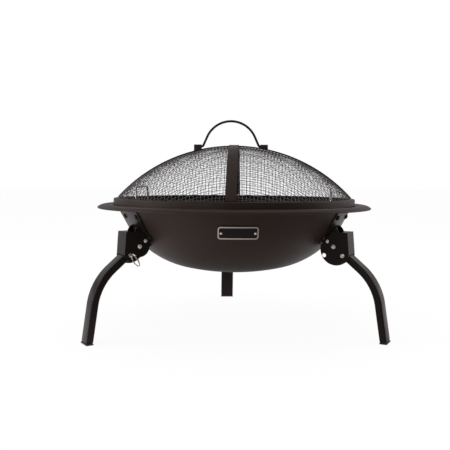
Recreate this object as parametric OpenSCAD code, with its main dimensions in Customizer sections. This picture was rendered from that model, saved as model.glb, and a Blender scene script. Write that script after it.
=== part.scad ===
// Folding fire pit: a dished steel bowl on three legs that fold under it, with a
// cooking grill inside and a lift-off wire mesh dome that has a bail on top.
// Millimetres, +Z up. The origin is on the bowl's axis, at the floor.

/* [Bowl] */
// Diameter over the rolled edge of the brim
brim_d = 558.8; // [530:0.1:600]
// Height of the bowl's lowest point above the floor
bowl_z = 115; // [105:0.5:125]
// Depth from the mouth down to the lowest point, outside
bowl_depth = 137.2; // [130:0.1:145]
// Radius of the shallow floor of the bowl
floor_r = 458; // [420:1:500]
// Angle in degrees of the floor's arc before the wall's arc begins
floor_turn = 13.9; // [12:0.1:16]
// Radius of the arc between the floor and the straight wall
wall_r = 173; // [166:0.5:180]
// Slope of the straight wall above the horizontal, in degrees
wall_slope = 61.4; // [58:0.1:65]
// Sheet thickness of the bowl
bowl_t = 1.5; // [1:0.1:2.5]
// Rise of the brim from the mouth to its crest
brim_rise = 2.4; // [1.5:0.1:3.5]
// Fall of the brim from its crest to the middle of the rolled edge
brim_drop = 6.4; // [5.5:0.1:7.5]
// Radius of the bend over the brim's crest
crest_r = 23; // [20:0.5:27]
// Diameter of the rolled edge
bead_d = 3.6; // [3.4:0.1:4.4]

/* [Leg brackets] */
// Width of the base plate that is bolted to the bowl
plate_w = 70; // [60:1:80]
// Thickness of the base plate and its ears
plate_t = 2; // [1.5:0.1:3]
// Drop of the base plate's top edge below the mouth
plate_top_drop = 9; // [8:0.5:12]
// Drop of the base plate's bottom edge below the mouth
plate_bottom_drop = 66; // [62:0.5:68]
// Corner radius of the base plate
plate_corner = 6; // [3:0.5:9]
// Drop of the two upper bolts below the mouth
upper_bolt_drop = 17.5; // [16:0.5:20]
// Half the spacing of the two upper bolts
upper_bolt_half = 25; // [22:0.5:27]
// Drop of the single lower bolt below the mouth
lower_bolt_drop = 42; // [38:0.5:43]
// Shank diameter of the bracket bolts
bolt_d = 6; // [5:0.1:7]
// Head diameter of the bracket bolts
bolt_head_d = 11; // [10:0.5:13]
// Head height of the bracket bolts
bolt_head_h = 3.6; // [3:0.1:4.5]
// Height of the nuts inside the bowl
nut_h = 4.5; // [3.5:0.1:6]
// Radius of the ears' rounded top
ear_r = 20; // [17:0.5:22]
// Radius of the ears around the pivot
ear_pivot_r = 11; // [9:0.5:13]
// Slant of the ears' outer edge, in degrees
ear_lean = 20; // [10:1:30]

/* [Leg housings] */
// Sheet thickness of the housing
housing_t = 2; // [1.5:0.1:3]
// Height of the housing's top above the pivot
housing_top = 28; // [26:0.5:32]
// Distance of the outer web's inside face from the pivot, at its lower end
web_out = 28.8; // [27:0.1:32]
// Lean of the web inwards, in degrees
web_lean = 5; // [0:0.5:8]
// Depth of the lip along the housing's top
lip_depth = 12; // [6:0.5:14]
// Radius of the round lobe on the plate with two lock holes
lobe_r = 30.5; // [29:0.5:33]
// Offset of that lobe's centre from the pivot, outwards and down
lobe_shift = 5; // [3:0.5:6]
// Radius of the smaller lobe on the other plate, about the pivot
small_lobe_r = 20.5; // [18:0.5:20.5]
// Radius of the smaller plate around the lock pin
lock_lobe_r = 11.5; // [9:0.5:13]
// Distance of the lock pin from the pivot
lock_r = 25; // [24.8:0.1:27]

/* [Legs] */
// Width of the leg tube, along the bowl's edge
tube_w = 30; // [26:0.5:32]
// Depth of the leg tube, in the plane of its bend
tube_d = 13.5; // [12:0.5:16]
// Wall of the leg tube
tube_t = 1.5; // [1:0.1:2]
// Drop of the pivot below the mouth
pivot_drop = 74.2; // [72:0.1:77]
// Distance of the pivot from the bowl's wall, measured level
pivot_out = 28.4; // [27:0.1:31]
// Lean of the upper tube from the vertical, in degrees
upper_lean = 50.4; // [48:0.1:53]
// Length of the upper tube from the pivot to the bend
upper_len = 65; // [60:0.5:70]
// Radius of the bend at the tube's middle
bend_r = 105; // [95:1:115]
// Lean of the lower tube from the vertical, in degrees
lower_lean = 8.9; // [6:0.1:12]
// Angle in degrees of the lock pin's open notch in the tube
notch_turn = 45; // [40:1:60]
// Angle in degrees through which the leg folds under the bowl
fold_angle = 97; // [92:0.5:98]
// Thickness of the foot plug below the tube
foot_t = 3; // [2:0.5:6]
// Depth of the foot plug inside the tube
foot_stub = 14; // [8:1:20]

/* [Pivot and lock pins] */
// Shank diameter of the pivot bolt
pivot_d = 8; // [6:0.1:9]
// Head diameter of the pivot bolt and its nut
pivot_head_d = 11; // [10:0.5:14]
// Height of the pivot bolt's head and of its nut
pivot_head_h = 4; // [3:0.1:5]
// Shank diameter of the rivet behind the pivot
rivet_d = 5; // [4:0.1:5.5]
// Head diameter of that rivet
rivet_head_d = 9; // [7:0.5:10]
// Distance of that rivet from the pivot
rivet_r = 15.6; // [15:0.1:16.5]
// Direction of that rivet from the pivot, in degrees above the outward level
rivet_turn = 140; // [136:1:144]
// Diameter of the lock pin
pin_d = 7.8; // [6.5:0.1:8]
// Length of the pin's tip outside the housing
pin_tip = 5; // [3:0.5:9]
// Thickness of the flattened end of the pin
eye_t = 2.3; // [2:0.1:2.5]
// Length of the flattened end
eye_len = 9.5; // [9:0.5:12]
// Diameter of the eye for the ring
eye_d = 5; // [4.6:0.1:5.2]
// Diameter of the ring's middle circle
ring_d = 26; // [22:0.5:30]
// Wire diameter of the ring
ring_wire = 2; // [1.6:0.1:2.2]
// Droop of the ring below the pin's own line, in degrees
ring_droop = 40; // [30:1:42]
// Lean of the ring towards the bowl, in degrees
ring_lean = 25; // [10:1:35]

/* [Lid] */
// Outside diameter of the lid's ring
lid_d = 494.6; // [490:0.1:500]
// Height of the lid's ring
rim_h = 13.2; // [11:0.1:18]
// Sheet thickness of the lid's ring
rim_t = 1.5; // [1:0.1:2.5]
// Width of the ring's flange, inwards
flange_w = 14; // [12.5:0.5:18]
// Width of the flange that shows outside the mesh
flange_show = 9.2; // [8:0.1:10]
// Radius of the mesh dome
dome_r = 324; // [312:0.5:340]
// Wire diameter of the mesh
mesh_wire = 1.2; // [1:0.1:1.6]
// Spacing of the mesh wires
mesh_pitch = 18; // [16:0.5:24]
// Width of the two straps
strap_w = 20; // [18:0.5:24]
// Thickness of the straps
strap_t = 1.2; // [1:0.1:1.6]
// Turn of the lid on the bowl, in degrees
lid_turn = -4.2; // [-10:0.1:10]

/* [Bail] */
// Wire diameter of the bail
bail_wire = 4.8; // [4:0.1:5.4]
// Height of the bail's top above its pivot line, at the wire's middle
bail_rise = 52; // [48:0.5:60]
// Radius of the bail's round top
bail_r = 54; // [50:0.5:58]
// Turn of the round top to each side, in degrees
bail_turn = 66; // [62:0.5:70]
// Radius of the bends above the bail's feet
elbow_r = 5; // [4.5:0.1:7]
// Place of the bail along its strap, from the middle
bail_offset = -7; // [-10:0.5:10]
// Width of each saddle along the strap
saddle_w = 12; // [10:0.5:14]
// Sheet thickness of the saddles
saddle_t = 1.4; // [1:0.1:1.6]
// Diameter of the saddle rivets
saddle_rivet_d = 2.6; // [2:0.1:3]

/* [Grill] */
// Radius of the grill's ring at its wire's middle
grill_r = 206; // [198:0.5:207]
// Wire diameter of the grill's ring
grill_ring_wire = 6; // [5:0.1:7]
// Wire diameter of the grill's bars
bar_wire = 4; // [3:0.1:4.5]
// Spacing of the grill's bars
bar_pitch = 20; // [18:0.5:24]
// Width of each lifting handle between its posts
handle_w = 80; // [70:1:90]
// Height of the handles above the grill's ring
handle_h = 82; // [60:1:84]
// Wire diameter of the handles
handle_wire = 4; // [3:0.1:5]
// Bend radius at the handles' top corners
handle_bend = 9; // [7:0.5:14]
// Lean of the handles towards the middle, in degrees
handle_lean = 5; // [0:0.5:10]
// Turn of the grill in the bowl, in degrees
grill_turn = -12.6; // [-20:0.1:20]

/* [Badge] */
// Width of the badge plate
badge_w = 72; // [60:1:84]
// Height of the badge plate, measured upright
badge_h = 23; // [18:0.5:28]
// Drop of the badge's middle below the mouth
badge_drop = 41; // [36:0.5:46]
// Thickness of the badge plate
badge_t = 1.2; // [0.8:0.1:2]
// Height of the raised border above the badge's field
badge_rim_t = 0.8; // [0.5:0.1:1.2]
// Width of the raised border
badge_rim_w = 2.2; // [1.5:0.1:3]
// Corner radius of the badge
badge_corner = 5; // [3.5:0.5:8]
// Distance of the badge's rivets from its middle
badge_rivet_x = 30; // [22:0.5:30]
// Diameter of the badge's rivets
badge_rivet_d = 3; // [2:0.1:3.4]
// Turn of the badge's middle from the front, in degrees
badge_turn = -0.9; // [-3:0.1:3]

/* [Clearances] */
// Gap between pieces that sit on each other
seat = 0.3; // [0.2:0.05:0.4]
// Radial clearance of pins in their holes
fit = 0.08; // [0.05:0.01:0.1]
// Gap on each side of a leg tube in its bracket
side_gap = 0.3; // [0.2:0.05:0.5]
// Clearance around the bail's feet in their saddles
bail_gap = 0.3; // [0.2:0.05:0.5]

/* [Hidden] */
$fn = 96;

// Legs by name and by their direction around the bowl
LEGS = [["back", 90], ["left", 210], ["right", 330]];
FRONT = 270;
STEEL_BLACK = [0.09, 0.08, 0.08];
STEEL_BARE = [0.80, 0.80, 0.78];

// Overlap that makes cuts and joins run clean through
eps = 1;
// Steps along the arcs of the bowl and of the bent outlines
floor_steps = 8;
wall_steps = 24;
crest_steps = 8;
arc_steps = 16;
// Direction where an ear's rounded top meets the bowl
ear_back = 120;
// Turn of the cut that fits a housing to its base plate
cut_turn = 60;
// Widths of nuts and of rivet heads, as shares of their shank's diameter
nut_share = 1.8;
rivet_share = 1.6;

// Outline of the bowl: floor arc, wall arc and straight wall, all tangent
function slope_out(a) = [sin(a), -cos(a)];
floor_c = [0, bowl_z + floor_r];
knee = floor_c + floor_r * slope_out(floor_turn);
wall_turn = wall_slope - floor_turn;
wall_c = knee - wall_r * slope_out(floor_turn);
shoulder = wall_c + wall_r * slope_out(wall_slope);
mouth_z = bowl_z + bowl_depth;
function straight_at(z) = shoulder.x + (z - shoulder.y) / tan(wall_slope);
function arc_at(z) = wall_c.x + sqrt(pow(wall_r, 2) - pow(wall_c.y - z, 2));
function wall_at(z) = z > shoulder.y ? straight_at(z) : arc_at(z);
function slope_at(z) = z > shoulder.y ? wall_slope : acos((wall_c.y - z) / wall_r);

// Crowned brim: a land that rises from the mouth, a bend over the crest and a rolled edge
edge_reach = crest_r - bead_d / 2;
edge_turn = asin((crest_r - brim_drop) / edge_reach);
bead_c = [(brim_d - bead_d) / 2, mouth_z + brim_rise - brim_drop];
crest_c = bead_c - edge_reach * [cos(edge_turn), sin(edge_turn)];
mouth_in = [wall_at(mouth_z) - bowl_t / sin(wall_slope), mouth_z];
crest_way = crest_c - mouth_in;
land_rise = asin(crest_r / norm(crest_way)) + atan2(crest_way.y, crest_way.x);
function land_at(r) = mouth_z + (r - mouth_in.x) * tan(land_rise);

// Leg mechanism, in the plane of a leg: x outwards from the axis, y up
pivot = [wall_at(mouth_z - pivot_drop) + pivot_out, mouth_z - pivot_drop];
upper_dir = [sin(upper_lean), -cos(upper_lean)];
upper_normal = [cos(upper_lean), sin(upper_lean)];
lower_dir = [sin(lower_lean), -cos(lower_lean)];
lower_normal = [cos(lower_lean), sin(lower_lean)];
bend_start = pivot + upper_len * upper_dir;
bend_c = bend_start - bend_r * upper_normal;
bend_end = bend_c + bend_r * lower_normal;
lock_at = pivot + lock_r * upper_dir;
fold_lock_at = pivot + lock_r * [cos(upper_lean - 90 - fold_angle), sin(upper_lean - 90 - fold_angle)];
rivet_at = pivot + rivet_r * [cos(rivet_turn), sin(rivet_turn)];
ear_in = tube_w / 2 + side_gap;
ear_out = ear_in + plate_t;
side_in = ear_out + fit;
side_out = side_in + housing_t;

// The web's lower edge stops the tube, a seat's width short of it
stop_reach = (web_out - seat / upper_normal.x - tube_d / 2 * upper_normal.x) / upper_dir.x;
web_foot = pivot + [web_out, tube_d / 2 * upper_normal.y + stop_reach * upper_dir.y];
web_head = [web_foot.x - tan(web_lean) * (pivot.y + housing_top - web_foot.y), pivot.y + housing_top];
lobe_at = pivot + lobe_shift * [1, -1];

// Lid: the dome's centre follows from where the mesh meets the flange
lid_z = land_at(lid_d / 2) + seat;
flange_z = lid_z + rim_h;
mesh_base_r = lid_d / 2 - flange_show;
dome_z = flange_z - sqrt(pow(dome_r, 2) - pow(mesh_base_r, 2));
foot_z = flange_z + seat - dome_z;
layer = mesh_wire + seat + fit;
warp_r = dome_r - layer / 2;
weft_r = dome_r + layer / 2;
low_strap_r = weft_r + mesh_wire / 2 + seat;
high_strap_r = low_strap_r + strap_t + seat;
wires_each_side = floor((mesh_base_r - mesh_pitch / 2) / mesh_pitch);

// Bail: round top, two straight flanks, two elbows and two feet
flank_rise = bail_rise - (bail_r + elbow_r) * (1 - cos(bail_turn));
foot_x = (bail_r + elbow_r) * sin(bail_turn) + flank_rise / tan(bail_turn);
joint_len = bail_wire / 4;
saddle_x = foot_x + joint_len + saddle_w / 2;
inner_x = foot_x - elbow_r - abs(bail_offset);
strap_top_r = low_strap_r + strap_t;
bail_z = dome_z + sqrt(pow(strap_top_r, 2) - pow(inner_x, 2)) + bail_wire / 2 + 2 * bail_gap;

// Grill: its ring rests on the arc of the bowl's wall
ring_reach = wall_r - bowl_t - grill_ring_wire / 2 - seat;
grill_z = wall_c.y - sqrt(pow(ring_reach, 2) - pow(grill_r - wall_c.x, 2));
bar_z = grill_z + (grill_ring_wire + bar_wire) / 2 + fit;
bars_each_side = floor((grill_r - bar_pitch / 2) / bar_pitch);
handle_x = sqrt(pow(grill_r, 2) - pow(handle_w / 2, 2));
handle_foot = grill_z + grill_ring_wire / 2 + fit;

// Solid between two planes across a leg, from an outline in the leg's own plane
module across(low, high) {
    translate([0, high, 0]) rotate([90, 0, 0]) linear_extrude(high - low) children();
}

// Same piece on the leg that points to a given direction
module on_leg(direction) {
    rotate([0, 0, direction]) children();
}

// Points along an arc, from one direction to another, counted from +X
function arc(centre, radius, first, last, steps) = [
    for (i = [0 : steps]) let (a = first + (last - first) * i / steps)
        centre + radius * [cos(a), sin(a)]
];

// Points along the bowl's outline from the axis up to the straight wall, grown outwards
function dish_line(grow) = concat(
    arc(floor_c, floor_r + grow, -90, floor_turn - 90, floor_steps),
    arc(wall_c, wall_r + grow, floor_turn - 90 + wall_turn / wall_steps, wall_slope - 90, wall_steps - 1)
);

// Filled half outline of the bowl, grown outwards, below a given height
module dish(grow, top) {
    side = shoulder + grow * slope_out(wall_slope);
    top_x = side.x + (top - side.y) / tan(wall_slope);
    polygon(concat(dish_line(grow), [[top_x, top], [0, top]]));
}

// Curved sheet that lies on the bowl's wall around the +X direction
module wall_sheet(near, far, top, turn) {
    rotate([0, 0, -turn / 2]) rotate_extrude(angle = turn) difference() {
        dish(far, top);
        dish(near, top + eps);
        square([wall_at(mouth_z - pivot_drop) / 2, top + eps]);
    }
}

// Rectangle with round corners, centred
module round_rect(w, h, r) {
    square([w - 2 * r, h], center = true);
    square([w, h - 2 * r], center = true);
    for (x = [-1, 1], y = [-1, 1]) translate([x * (w / 2 - r), y * (h / 2 - r)]) circle(r);
}

// Dome of a bolt or rivet head, standing on the XY plane
module dome_head(d, h) {
    ball = (pow(d / 2, 2) + pow(h, 2)) / (2 * h);
    intersection() {
        translate([0, 0, h - ball]) sphere(ball);
        cylinder(h = h + eps, d = d + eps);
    }
}

// Places of a bracket's three bolts: height and turn around the axis
upper_turn = asin(upper_bolt_half / wall_at(mouth_z - upper_bolt_drop));
BOLTS = [
    [mouth_z - upper_bolt_drop, upper_turn],
    [mouth_z - upper_bolt_drop, -upper_turn],
    [mouth_z - lower_bolt_drop, 0]
];
module at_bolts() {
    for (leg = LEGS, b = BOLTS) on_leg(leg[1] + b[1]) wall_bolt_place(b[0]) children();
}
module wall_bolt_place(z) {
    translate([wall_at(z), 0, z]) rotate([0, 180 - slope_at(z), 0]) children();
}
plate_face = seat + plate_t;

// Bowl

module bowl() {
    color(STEEL_BLACK) difference() {
        rotate_extrude() bowl_outline();
        at_bolts() translate([0, 0, -bowl_t - eps]) cylinder(h = bowl_t + 2 * eps, d = bolt_d + 2 * fit);
        at_badge_rivets() translate([0, 0, -bowl_t - eps])
            cylinder(h = bowl_t + 2 * eps, d = badge_rivet_d + 2 * fit);
    }
}

// Section of the bowl: outside up to the mouth, under the brim, round its rolled edge,
// back over the crest and down the inside
module bowl_outline() {
    under = mouth_z - bowl_t;
    under_r = crest_r - bowl_t;
    edge_r = bead_d / 2;
    nip = acos((pow(under_r, 2) - pow(edge_reach, 2) - pow(edge_r, 2)) / (2 * edge_reach * edge_r));
    nip_turn = acos((pow(edge_reach, 2) + pow(under_r, 2) - pow(edge_r, 2)) / (2 * edge_reach * under_r));
    land_turn = 90 + land_rise;
    step = (land_turn - edge_turn - nip_turn) / crest_steps;
    inside = dish_line(-bowl_t);
    polygon(concat(
        dish_line(0), [[wall_at(under), under]],
        arc(crest_c, under_r, land_turn, edge_turn + nip_turn + step, crest_steps - 1),
        arc(bead_c, edge_r, edge_turn + nip, edge_turn + 360, arc_steps),
        arc(crest_c, crest_r, edge_turn + step, land_turn, crest_steps - 1),
        [mouth_in],
        [for (i = [len(inside) - 1 : -1 : 0]) inside[i]]
    ));
}

// Badge

badge_z = mouth_z - badge_drop;
badge_rivet_turn = asin(badge_rivet_x / wall_at(badge_z));

module at_badge_rivets() {
    for (s = [-1, 1]) on_leg(FRONT + badge_turn + s * badge_rivet_turn) wall_bolt_place(badge_z) children();
}

// Sheet of the badge cut to a rounded outline, seen level from the front
module badge_sheet(near, far, trim) {
    intersection() {
        wall_sheet(near, far, badge_z + badge_h, 2 * badge_w / wall_at(badge_z) * 180 / PI);
        translate([0, 0, badge_z]) rotate([90, 0, 90])
            linear_extrude(brim_d) round_rect(badge_w - 2 * trim, badge_h - 2 * trim, badge_corner - trim);
    }
}

module badge_plate() {
    color(STEEL_BARE) difference() {
        on_leg(FRONT + badge_turn) difference() {
            badge_sheet(seat, seat + badge_t + badge_rim_t, 0);
            badge_sheet(seat + badge_t, seat + badge_t + badge_rim_t + eps, badge_rim_w);
        }
        at_badge_rivets() translate([0, 0, -eps]) cylinder(h = badge_t + 3 * eps, d = badge_rivet_d + 2 * fit);
    }
}

module badge_rivets() {
    head = seat + badge_t + fit;
    color(STEEL_BARE) at_badge_rivets() {
        translate([0, 0, -bowl_t]) cylinder(h = bowl_t + head, d = badge_rivet_d);
        translate([0, 0, head]) dome_head(rivet_share * badge_rivet_d, badge_rivet_d / 2);
    }
}

// Brackets

module bracket(direction) {
    plate_z = mouth_z - (plate_top_drop + plate_bottom_drop) / 2;
    plate_h = plate_bottom_drop - plate_top_drop;
    color(STEEL_BLACK) on_leg(direction) difference() {
        union() {
            intersection() {
                wall_sheet(seat, plate_face, mouth_z, 2 * plate_w / wall_at(plate_z) * 180 / PI);
                translate([0, 0, plate_z]) rotate([90, 0, 90])
                    linear_extrude(brim_d) round_rect(plate_w, plate_h, plate_corner);
            }
            across(ear_in, ear_out) ear_outline();
            across(-ear_out, -ear_in) ear_outline();
        }
        for (b = BOLTS) rotate([0, 0, b[1]]) wall_bolt_place(b[0])
            translate([0, 0, -eps]) cylinder(h = plate_face + 2 * eps, d = bolt_d + 2 * fit);
        across(-side_out, side_out) holes(pivot, pivot_d);
        across(-side_out, side_out) holes(rivet_at, rivet_d);
    }
}

// Hole of a pin, in a leg's plane
module holes(place, d) {
    translate(place) circle(d = d + 2 * fit);
}

// Outline of an ear: a rounded top against the wall, drawn down to the pivot
module ear_outline() {
    top_c = [wall_at(pivot.y + ear_r) + plate_face, pivot.y + ear_r + plate_t];
    difference() {
        polygon(concat(
            arc(top_c, ear_r, ear_back, -ear_lean, arc_steps),
            arc(pivot, ear_pivot_r, -ear_lean, -90 - ear_lean, arc_steps),
            [[wall_at(pivot.y), pivot.y + plate_t]]
        ));
        dish(seat, mouth_z);
    }
}

module bracket_bolts() {
    color(STEEL_BARE) at_bolts() {
        translate([0, 0, -bowl_t - nut_h]) cylinder(h = nut_h + bowl_t + plate_face + fit, d = bolt_d);
        translate([0, 0, plate_face + fit]) dome_head(bolt_head_d, bolt_head_h);
    }
}

module bracket_nuts() {
    color(STEEL_BARE) at_bolts() translate([0, 0, -bowl_t - nut_h - seat]) difference() {
        cylinder(h = nut_h, d = nut_share * bolt_d, $fn = 6);
        translate([0, 0, -eps]) cylinder(h = nut_h + 2 * eps, d = bolt_d + 2 * fit);
    }
}

// Housings

module housing(direction) {
    color(STEEL_BLACK) on_leg(direction) difference() {
        union() {
            across(-side_out, -side_in) lobed_side();
            across(side_in, side_out) small_side();
            across(-side_out, side_out) web_outline();
            across(-side_out, side_out) lip_outline();
        }
        rotate([0, 0, -cut_turn / 2]) rotate_extrude(angle = cut_turn) dish(plate_face + fit, mouth_z);
        across(-side_out - eps, side_out + eps) holes(pivot, pivot_d);
        across(-side_out - eps, side_out + eps) holes(rivet_at, rivet_d);
        across(-side_out - eps, side_out + eps) holes(lock_at, pin_d);
        across(-side_out - eps, 0) holes(fold_lock_at, pin_d);
    }
}

// Part of a side plate above the lobes, from the wall to the web
module side_body() {
    web_base = web_foot + [housing_t, 0];
    polygon([
        web_base, web_head + [housing_t, 0], [wall_at(web_head.y), web_head.y],
        [wall_at(pivot.y), pivot.y + plate_t], pivot
    ]);
}

// The plate with both lock holes: the tube is held here open and folded
module lobed_side() {
    side_body();
    intersection() {
        translate(lobe_at) circle(lobe_r);
        square([web_foot.x + housing_t, mouth_z]);
    }
}

// The plate on the ring's side, cut back so that the pin can pass beside it when folded
module small_side() {
    side_body();
    translate(pivot) circle(small_lobe_r);
    translate(lock_at) circle(lock_lobe_r);
    polygon([pivot, pivot - [0, small_lobe_r], lock_at - [0, lock_lobe_r], web_foot + [housing_t, 0]]);
}

module web_outline() {
    polygon([web_foot, web_foot + [housing_t, 0], web_head + [housing_t, 0], web_head]);
}

module lip_outline() {
    translate(web_head - [lip_depth, housing_t]) square([lip_depth + housing_t, housing_t]);
}

module housing_rivet(direction) {
    reach = side_out + fit;
    color(STEEL_BARE) on_leg(direction) {
        across(-reach, reach) translate(rivet_at) circle(d = rivet_d);
        for (s = [-1, 1]) translate([rivet_at.x, s * reach, rivet_at.y]) rotate([-90 * s, 0, 0])
            dome_head(rivet_head_d, rivet_d / 2);
    }
}

module pivot_bolt(direction) {
    reach = side_out + fit;
    color(STEEL_BARE) on_leg(direction) {
        across(-reach - pivot_head_h / 2, reach) translate(pivot) circle(d = pivot_d);
        translate([pivot.x, reach, pivot.y]) rotate([-90, 0, 0]) dome_head(pivot_head_d, pivot_head_h);
    }
}

module pivot_nut(direction) {
    reach = side_out + fit;
    color(STEEL_BARE) on_leg(direction) difference() {
        translate([pivot.x, -reach, pivot.y]) rotate([90, 0, 0]) dome_head(pivot_head_d, pivot_head_h);
        across(-reach - pivot_head_h / 2 - fit, 0) holes(pivot, pivot_d);
    }
}

// Legs

// Outline of the leg tube, grown by a given amount on both faces, with a round or a flat head
module tube_outline(grow, head_steps) {
    half = tube_d / 2 + grow;
    reach = bend_end.y / cos(lower_lean) + tube_d;
    polygon(concat(
        arc(pivot, half, upper_lean + 180, upper_lean, head_steps),
        arc(bend_c, bend_r + half, upper_lean, lower_lean, arc_steps),
        [bend_end + half * lower_normal + reach * lower_dir],
        [bend_end - half * lower_normal + reach * lower_dir],
        arc(bend_c, bend_r - half, lower_lean, upper_lean, arc_steps)
    ));
}

// Room for the lock pin as the tube swings away from it
module lock_notch() {
    room = pin_d / 2 + seat;
    first = upper_lean - 90;
    polygon(concat(
        arc(lock_at, room, first + 180, first + 360, arc_steps),
        arc(pivot, lock_r + room, first, first + notch_turn, arc_steps),
        arc(pivot, lock_r - room, first + notch_turn, first, arc_steps)
    ));
}

module leg_tube(direction) {
    half = tube_w / 2;
    color(STEEL_BLACK) on_leg(direction) difference() {
        across(-half, half) tube_outline(0, arc_steps);
        across(-half + tube_t, half - tube_t) tube_outline(-tube_t, 1);
        across(-half - eps, half + eps) holes(pivot, pivot_d);
        across(-half - eps, half + eps) lock_notch();
        translate([0, -tube_w, -2 * tube_d]) cube([brim_d, 2 * tube_w, 2 * tube_d + foot_t]);
    }
}

module foot_plug(direction) {
    half = tube_w / 2;
    inner = half - tube_t - seat;
    color([0.05, 0.05, 0.05]) on_leg(direction) {
        intersection() {
            across(-half, half) tube_outline(0, 1);
            translate([0, -tube_w, 0]) cube([brim_d, 2 * tube_w, foot_t - fit]);
        }
        intersection() {
            across(-inner, inner) tube_outline(-tube_t - seat, 1);
            translate([0, -tube_w, foot_t / 2]) cube([brim_d, 2 * tube_w, foot_stub]);
        }
    }
}

// Lock pins and their rings

eye_y = side_out + seat + eye_len - eye_d;
ring_down = [-sin(ring_lean), 0, -cos(ring_lean)];

module lock_pin(direction) {
    shank_end = side_out + seat;
    color(STEEL_BARE) on_leg(direction) difference() {
        union() {
            across(-side_out - pin_tip, shank_end + fit) translate(lock_at) circle(d = pin_d);
            translate([lock_at.x, shank_end, lock_at.y]) rotate([0, ring_lean, 0]) rotate([0, 0, 90])
                translate([0, 0, -eye_t / 2]) linear_extrude(eye_t) {
                    translate([0, -pin_d / 2]) square([eye_len - eye_d, pin_d]);
                    translate([eye_len - eye_d, 0]) circle(d = pin_d);
                }
        }
        translate([lock_at.x, eye_y, lock_at.y]) rotate([0, ring_lean, 0])
            cylinder(h = pin_d, d = eye_d, center = true);
    }
}

module pin_ring(direction) {
    middle = ring_d / 2 * (cos(ring_droop) * [0, 1, 0] + sin(ring_droop) * ring_down);
    color(STEEL_BARE) on_leg(direction) translate([lock_at.x, eye_y, lock_at.y] + middle)
        rotate([0, ring_lean, 0]) rotate([0, 90, 0])
            rotate_extrude() translate([ring_d / 2, 0]) circle(d = ring_wire, $fn = 24);
}

// Lid

module on_lid() {
    rotate([0, 0, lid_turn]) children();
}

module lid_rim() {
    r = lid_d / 2;
    color(STEEL_BLACK) rotate_extrude() {
        translate([r - rim_t, lid_z]) square([rim_t, rim_h]);
        translate([r - flange_w, flange_z - rim_t]) square([flange_w, rim_t]);
    }
}

// Arc over the dome in the plane of X and Z, from an outline drawn at its radius
module dome_arc(lowest_r) {
    half = acos(foot_z / lowest_r);
    translate([0, 0, dome_z]) rotate([90, 0, 0]) rotate([0, 0, 90 - half])
        rotate_extrude(angle = 2 * half) children();
}

module mesh_wires(sphere_r) {
    for (i = [-wires_each_side : wires_each_side]) {
        r = sqrt(pow(sphere_r, 2) - pow(i * mesh_pitch, 2));
        translate([0, i * mesh_pitch, 0]) dome_arc(r - mesh_wire / 2)
            translate([r, 0]) circle(d = mesh_wire, $fn = 16);
    }
}

module mesh_warp() {
    color([0.12, 0.12, 0.12]) on_lid() mesh_wires(warp_r);
}

module mesh_weft() {
    color([0.12, 0.12, 0.12]) on_lid() rotate([0, 0, 90]) mesh_wires(weft_r);
}

module strap_side_to_side() {
    color(STEEL_BLACK) on_lid() difference() {
        dome_arc(low_strap_r) translate([low_strap_r, -strap_w / 2]) square([strap_t, strap_w]);
        at_saddle_rivets() cylinder(h = 6 * strap_t, d = saddle_rivet_d + 2 * fit, center = true);
    }
}

module strap_front_to_back() {
    color(STEEL_BLACK) on_lid() rotate([0, 0, 90]) dome_arc(high_strap_r)
        translate([high_strap_r, -strap_w / 2]) square([strap_t, strap_w]);
}

// Bail and its saddles

flange_y = bail_wire / 2 + bail_gap + saddle_t;
rivet_y = (strap_w / 2 + flange_y) / 2 - fit;

// Places of the four saddle rivets, on the outside of the strap
module at_saddle_rivets() {
    for (s = [-1, 1], t = [-1, 1]) {
        lean = asin((bail_offset + s * saddle_x) / strap_top_r);
        translate([0, 0, dome_z]) rotate([0, lean, 0]) translate([0, t * rivet_y, strap_top_r]) children();
    }
}

module saddle(s) {
    x = bail_offset + s * saddle_x;
    lean = asin(x / strap_top_r);
    half = asin(saddle_w / 2 / strap_top_r);
    base_r = strap_top_r + fit;
    color(STEEL_BLACK) on_lid() difference() {
        union() {
            translate([0, 0, dome_z]) rotate([90, 0, 0]) rotate([0, 0, 90 - lean - half])
                rotate_extrude(angle = 2 * half)
                    translate([base_r, -strap_w / 2]) square([saddle_t, strap_w]);
            difference() {
                translate([x - saddle_w / 2, 0, bail_z]) rotate([90, 0, 90])
                    linear_extrude(saddle_w) arch_outline();
                translate([0, 0, dome_z]) rotate([90, 0, 0])
                    cylinder(h = 2 * strap_w, r = base_r + saddle_t / 2, center = true);
            }
        }
        translate([x - saddle_w, 0, bail_z]) rotate([90, 0, 90])
            linear_extrude(2 * saddle_w) foot_room();
        at_saddle_rivets() cylinder(h = 6 * strap_t, d = saddle_rivet_d + 2 * fit, center = true);
    }
}

// Cross-section of a saddle over the bail's foot, drawn from the foot's middle
module arch_outline() {
    translate([-flange_y, -bail_rise / 2]) square([2 * flange_y, bail_rise / 2]);
    circle(flange_y);
}

module foot_room() {
    room = bail_wire / 2 + bail_gap;
    circle(room);
    translate([-room, -bail_rise / 2]) square([2 * room, bail_rise / 2]);
}

module saddle_rivets() {
    tail = strap_t - fit;
    head = saddle_t + 2 * fit;
    color(STEEL_BARE) on_lid() at_saddle_rivets() {
        translate([0, 0, -tail]) cylinder(h = tail + head, d = saddle_rivet_d);
        translate([0, 0, head]) dome_head(rivet_share * saddle_rivet_d, saddle_rivet_d / 2);
    }
}

// Short collar over a joint of two pieces of wire, along a direction in the bail's plane
module bail_joint(x, z, lean) {
    translate([x, 0, z]) rotate([0, lean, 0])
        cylinder(h = joint_len, d = bail_wire + bail_gap, center = true);
}

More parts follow.
